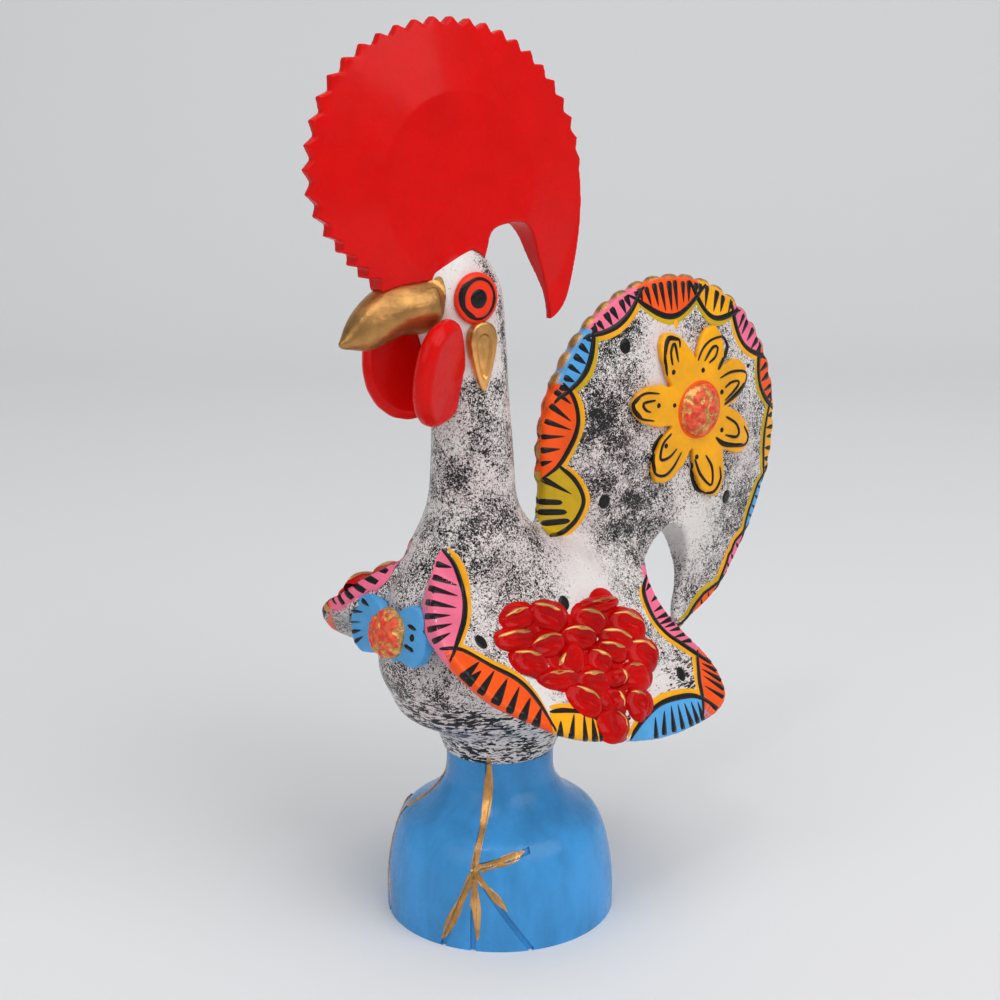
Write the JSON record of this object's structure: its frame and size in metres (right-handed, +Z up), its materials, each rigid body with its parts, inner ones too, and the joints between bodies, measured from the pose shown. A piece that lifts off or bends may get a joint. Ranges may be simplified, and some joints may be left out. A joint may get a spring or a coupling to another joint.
{
  "type": "ceramic rooster figurine",
  "caption": "Painted clay rooster with a toothed comb, fan tail with flowers, spread wings with berries and a hollow bell base that it stands on.",
  "frame": {"origin": "centre of the foot ring on the ground", "axes": "+Z up, the rooster looks along -X, its left side is -Y"},
  "size_m": [0.2068, 0.1078, 0.3],
  "materials": {
    "blue_glaze": "gloss",
    "speckled_glaze": "gloss, white with a fine black sponged speckle",
    "red_gloss": "gloss",
    "gold_paint": "satin gold paint",
    "orange_paint": "gloss",
    "yellow_paint": "gloss",
    "sky_paint": "gloss"
  },
  "bodies": {
    "root": {"base": "blue_glaze", "body": "speckled_glaze", "tail": "speckled_glaze", "wing_left": "speckled_glaze", "wing_right": "speckled_glaze", "comb": "red_gloss", "wattle_left": "red_gloss", "wattle_right": "red_gloss", "berries_left": "red_gloss", "berries_right": "red_gloss", "beak": "gold_paint", "ear_lobe_left": "gold_paint", "ear_lobe_right": "gold_paint", "eye_left": "orange_paint", "eye_right": "orange_paint", "tail_flower_left": "yellow_paint", "tail_flower_right": "yellow_paint", "tail_flower_boss_left": "orange_paint", "tail_flower_boss_right": "orange_paint", "chest_flower": "sky_paint", "chest_flower_boss": "orange_paint"}
  },
  "joints": []
}
